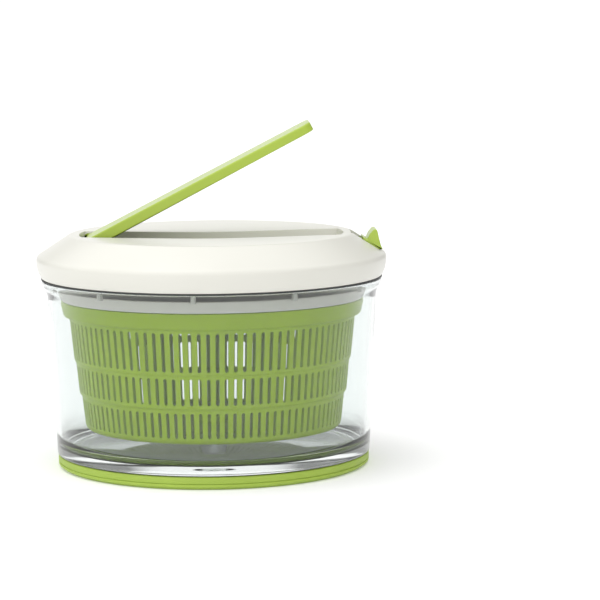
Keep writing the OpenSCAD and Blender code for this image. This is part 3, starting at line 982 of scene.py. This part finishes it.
@dataclass
class Lever:
    """The pump lever: a long flat moulding, round at the hinge and ribbed underneath."""

    width: float = 39.0
    length: float = 156.7
    barrel_r: float = 3.6
    top: float = 3.5
    skin: float = 2.0
    heel: float = 6.8
    tip: float = 5.6
    corner_r: float = 5.5
    raised_deg: float = 27.2
    ribs: tuple[float, ...] = (29.0, 54.0, 79.0, 104.0, 129.0)
    hub_x: float = 6.0
    side_t: float = 1.2
    half_rib: float = 0.8
    hinge: Vector = field(default_factory=lambda: (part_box("lever_pin")[0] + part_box("lever_pin")[1]) / 2 / MM)

    def raised(self, bm: bmesh.types.BMesh) -> None:
        """Moves the lever's own frame to the hinge, raised."""
        turned = Matrix.Rotation(-math.radians(self.raised_deg), 4, "Y")
        bmesh.ops.transform(bm, matrix=Matrix.Translation(self.hinge) @ turned, verts=bm.verts)

    def build(self) -> bpy.types.Object:
        """Builds the arm, hollows it between its ribs and rounds its edges.

        Returns:
            The lever.
        """
        half = self.width / 2
        bm = bmesh.new()
        corners = [(0, -half), (self.length, -half), (self.length, half), (0, half)]
        plan = rounded(corners, [0, self.corner_r, self.corner_r, 0], 8)
        verts = [bm.verts.new((x, y, self.top)) for x, y in plan]
        upper = bm.faces.new(verts)
        made = bmesh.ops.extrude_face_region(bm, geom=[upper], use_keep_orig=True)["geom"]
        lower = [g for g in made if isinstance(g, bmesh.types.BMFace)][0]
        for vert in lower.verts:
            share = vert.co.x / self.length
            vert.co.z = self.top - self.heel + (self.heel - self.tip) * share
        self.hollow(bm, lower)
        self.raised(bm)
        piece = piece_from(bm, "lever_arm", Stock.LEVER_GREEN)
        tools = [("UNION", self.barrel()), ("DIFFERENCE", self.hinge_gap())]
        combine(piece, tools + [("DIFFERENCE", self.tip_slot())])
        soften(piece, 0.9, 4)
        return place(piece, "lever", "lever_green", "lever")

    def hollow(self, bm: bmesh.types.BMesh, lower: bmesh.types.BMFace) -> None:
        """Sinks the underside into cells, which leaves the side walls, cross ribs and a spine.

        Args:
            bm: The lever's mesh.
            lower: Its underside.
        """
        bmesh.ops.inset_region(bm, faces=[lower], thickness=self.side_t, use_even_offset=True)
        cells = [lower]
        cuts = [((x, 0, 0), (1, 0, 0)) for x in (self.hub_x, *self.ribs)] + [((0, 0, 0), (0, 1, 0))]
        for point, normal in cuts:
            inside = [f for f in cells if f.is_valid]
            if normal[1]:
                inside = [f for f in inside if f.calc_center_median().x > self.ribs[0]]
            keep = [f for f in cells if f not in inside]
            edges = list({e for f in inside for e in f.edges})
            corners = list({v for f in inside for v in f.verts})
            geom = inside + edges + corners
            cut = bmesh.ops.bisect_plane(bm, geom=geom, dist=1e-5, plane_co=point, plane_no=normal)["geom"]
            cells = keep + [g for g in cut if isinstance(g, bmesh.types.BMFace)]
        cells = [f for f in cells if f.calc_center_median().x > self.hub_x]
        bmesh.ops.inset_individual(bm, faces=cells, thickness=self.half_rib, use_even_offset=True)
        raised = bmesh.ops.extrude_discrete_faces(bm, faces=cells)["faces"]
        for vert in {v for f in raised for v in f.verts}:
            vert.co.z = self.top - self.skin

    def rod(self, radius: float, low: float, high: float) -> Callable[[bmesh.types.BMesh], None]:
        """Prepares a rod along Y through the hinge.

        Args:
            radius: Its radius.
            low: Where it starts along Y.
            high: Where it ends.

        Returns:
            A function that adds the rod to a mesh.
        """

        def build(bm: bmesh.types.BMesh) -> None:
            """Adds the rod.

            Args:
                bm: The mesh that it joins.
            """
            made = bmesh.ops.create_cone(
                bm, cap_ends=True, segments=48, radius1=radius, radius2=radius, depth=high - low
            )["verts"]
            bmesh.ops.rotate(bm, verts=made, cent=(0, 0, 0), matrix=Matrix.Rotation(math.pi / 2, 3, "X"))
            bmesh.ops.translate(bm, verts=made, vec=self.hinge + Vector((0, (low + high) / 2, 0)))

        return build

    def barrel(self) -> bpy.types.Object:
        """Returns the tool that rounds the hinge end."""
        return solid(self.rod(self.barrel_r, -self.width / 2 + 0.01, self.width / 2 - 0.01), "barrel")

    def hinge_gap(self) -> bpy.types.Object:
        """Returns the tool that clears the sector's hub and the spring."""
        return solid(self.rod(3.0, -4.3, 12.2), "hinge_gap")

    def tip_slot(self) -> bpy.types.Object:
        """Makes the tool that cuts the latch's slot into the tip.

        Returns:
            The tool.
        """

        def build(bm: bmesh.types.BMesh) -> None:
            """Adds the slot's block, raised with the lever."""
            add_block(bm, (self.length - 4, -6, -1.2), (self.length + 1, 6, 1.5))
            self.raised(bm)

        return solid(build, "tip_slot")


@dataclass
class Latch:
    """The green latch: a finger fin on a flared foot, with a tongue towards the lever."""

    width: float = 23.6
    fin_width: float = 20.0
    foot_z: float = 135.5
    flare_h: float = 5.4

    def build(self) -> bpy.types.Object:
        """Builds the fin with a hollow thumb side, the flared foot and the tongue.

        Returns:
            The latch.
        """
        low = self.foot_z
        profile = [(96.4, low), (107.3, low), (106.3, low + 2.2), (105.3, low + 6.0), (104.3, low + 10.6)]
        profile += arc((102.6, low + 10.8), 1.6, 10, 150, 6)
        profile += [(99.4, low + 9.6), (98.6, low + 8.0), (98.0, low + 6.4), (97.0, low + 6.0)]
        bm = bmesh.new()
        half = self.fin_width / 2
        fin = prism(bm, [(x, -half, z) for x, z in profile], (0, 2 * half, 0))
        for vert in fin:
            spread = max(0.0, 1 - (vert.co.z - low) / self.flare_h)
            vert.co.y *= 1 + (self.width / self.fin_width - 1) * spread * spread
        foot = [(95.0, low), (106.8, low), (107.0, low + 0.2), (98.0, low + 5.9), (95.0, low + 7.8)]
        prism(bm, [(x, -self.width / 2, z) for x, z in foot], (0, self.width, 0))
        add_bar(bm, (86.4, 96.4, -5.2, 5.2, 140.5, 142.35))
        piece = piece_from(bm, "latch_fin", Stock.LEVER_GREEN)
        soften(piece, 0.6, 3)
        return place(piece, "latch", "lever_green", "latch_tab")


class Works:
    """The pins, screws, gears and shaft, which keep their CAD shapes and get their real finish."""

    finishes: dict[str, Stock] = {
        "pivot_cup": Stock.GEAR_WHITE,
        "spindle_bush": Stock.GEAR_WHITE,
        "drive_sector": Stock.GEAR_WHITE,
        "rack": Stock.GEAR_WHITE,
        "idler_gear": Stock.GEAR_WHITE,
        "clutch_gear": Stock.GEAR_WHITE,
        "liner_screws": Stock.STEEL,
        "lever_pin": Stock.STEEL,
        "lever_spring": Stock.STEEL,
        "idler_axle": Stock.STEEL,
        "thrust_washer": Stock.STEEL,
        "sector_screws": Stock.STEEL,
        "clutch_rollers": Stock.STEEL,
        "drive_shaft": Stock.STEEL,
        "plate_screw": Stock.STEEL,
        "latch_screw": Stock.STEEL,
    }

    def dress(self) -> None:
        """Gives each kept CAD node its material."""
        for name, stock in self.finishes.items():
            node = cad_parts[name]
            for slot in node.material_slots:
                slot.material = stock.material
            LOG.info("%s: %s", name, stock.value.name)


# ---------------------------------------------------------------- studio


@dataclass
class Studio:
    """A pale floor, a white backdrop, soft light from above, and the camera low in front."""

    distance: float = 1.655
    height: float = 0.301
    yaw_deg: float = 1.92
    pitch_deg: float = 6.83
    roll_deg: float = 0.47
    lens_mm: float = 158.2
    backdrop: float = 1.06
    sky: float = 1.42
    dim: float = 0.30
    floor_side: float = 10.0
    floor_glow: float = 0.16
    fibre_mm: float = 1000 / 60
    sky_axis: tuple[float, float, float] = (-0.24, -0.32, 0.92)

    def build(self) -> None:
        """Builds the floor, world, lights and camera."""
        self.floor()
        self.world()
        self.lamp("overhead", (-0.35, -0.25, 1.5), 0.9, 3.5)
        self.camera()
        bpy.context.scene.view_settings.view_transform = "Standard"

    def floor(self) -> None:
        """Lays the floor under the spinner."""
        bm = bmesh.new()
        bmesh.ops.create_grid(bm, x_segments=8, y_segments=8, size=self.floor_side / 2)
        mesh = bpy.data.meshes.new("floor")
        bm.to_mesh(mesh)
        bm.free()
        floor = bpy.data.objects.new("floor", mesh)
        bpy.context.scene.collection.objects.link(floor)
        material, tree, where = start_material("matt_white_paper")
        # paper fibre is far finer than this, and is drawn coarse so that the sheet is not quite even
        fibre = add(
            tree, "ShaderNodeTexNoise", {"Scale": per_metre(self.fibre_mm), "Detail": 4.0}, {"Vector": where}
        )
        bump = add(
            tree, "ShaderNodeBump", {"Strength": 0.02, "Distance": 0.0005}, {"Height": fibre.outputs["Fac"]}
        )
        shader = add(
            tree,
            "ShaderNodeBsdfPrincipled",
            {
                "Base Color": linear("EEEEEE"),
                "Roughness": 0.9,
                "Emission Color": linear(WHITE),
                "Emission Strength": self.floor_glow,
            },
            {"Normal": bump.outputs["Normal"]},
        )
        add(tree, "ShaderNodeOutputMaterial", {}, {"Surface": shader.outputs["BSDF"]})
        mesh.materials.append(material)

    def world(self) -> None:
        """Lights the scene: a white backdrop behind, a soft sky from the upper left, dim sides."""
        world = bpy.data.worlds.new("studio_tent")
        bpy.context.scene.world = world
        world.use_nodes = True
        tree = world.node_tree
        tree.nodes.clear()
        towards = add(tree, "ShaderNodeTexCoord").outputs["Generated"]
        levels = []
        for axis, reach, strength in (
            ((0.0, 1.0, 0.0), (0.88, 0.97), (0.0, self.backdrop)),
            (self.sky_axis, (0.16, 0.58), (self.dim, self.sky)),
        ):
            facing = add(tree, "ShaderNodeVectorMath", {"operation": "DOT_PRODUCT", 1: axis}, {0: towards})
            level = add(
                tree,
                "ShaderNodeMapRange",
                {
                    "interpolation_type": "SMOOTHSTEP",
                    "From Min": reach[0],
                    "From Max": reach[1],
                    "To Min": strength[0],
                    "To Max": strength[1],
                },
                {"Value": facing.outputs["Value"]},
            )
            levels.append(level.outputs["Result"])
        both = add(tree, "ShaderNodeMath", {"operation": "MAXIMUM"}, {0: levels[0], 1: levels[1]})
        glow = add(
            tree, "ShaderNodeBackground", {"Color": linear(WHITE)}, {"Strength": both.outputs["Value"]}
        )
        add(tree, "ShaderNodeOutputWorld", {}, {"Surface": glow.outputs["Background"]})

    @staticmethod
    def lamp(name: str, where: Sequence[float], size: float, power: float) -> None:
        """Adds a soft square lamp that points at the spinner.

        Args:
            name: The lamp's name.
            where: Its place in metres.
            size: Its side in metres.
            power: Its power in watts.
        """
        data = bpy.data.lights.new(name, "AREA")
        data.size = size
        data.energy = power
        lamp = bpy.data.objects.new(name, data)
        bpy.context.scene.collection.objects.link(lamp)
        lamp.location = where
        lamp.rotation_euler = (Vector((0, 0, 0.1)) - Vector(where)).to_track_quat("-Z", "Y").to_euler()

    def camera(self) -> None:
        """Sets the camera a little above the lid, turned to leave room on the right."""
        data = bpy.data.cameras.new("camera")
        data.lens = self.lens_mm
        data.sensor_width = 36.0
        camera = bpy.data.objects.new("camera", data)
        bpy.context.scene.collection.objects.link(camera)
        bpy.context.scene.camera = camera
        yaw, pitch = math.radians(self.yaw_deg), math.radians(self.pitch_deg)
        ahead = Vector((math.sin(yaw) * math.cos(pitch), math.cos(yaw) * math.cos(pitch), -math.sin(pitch)))
        aimed = ahead.to_track_quat("-Z", "Y").to_matrix().to_4x4()
        rolled = Matrix.Rotation(-math.radians(self.roll_deg), 4, "Z")
        camera.matrix_world = Matrix.Translation((0, -self.distance, self.height)) @ aimed @ rolled


def main() -> None:
    """Builds the spinner from the foot up, and then the studio."""
    logging.basicConfig(level=logging.INFO, format="%(message)s")
    bowl = Bowl()
    bowl.build()
    bowl.ring()
    Basket().build()
    DrivePlate().build()
    lid = Lid()
    lid.shell()
    lid.liner()
    lid.painted_seam_shadow_ring()
    Lever().build()
    Latch().build()
    Works().dress()
    Studio().build()


if __name__ == "__main__":
    main()
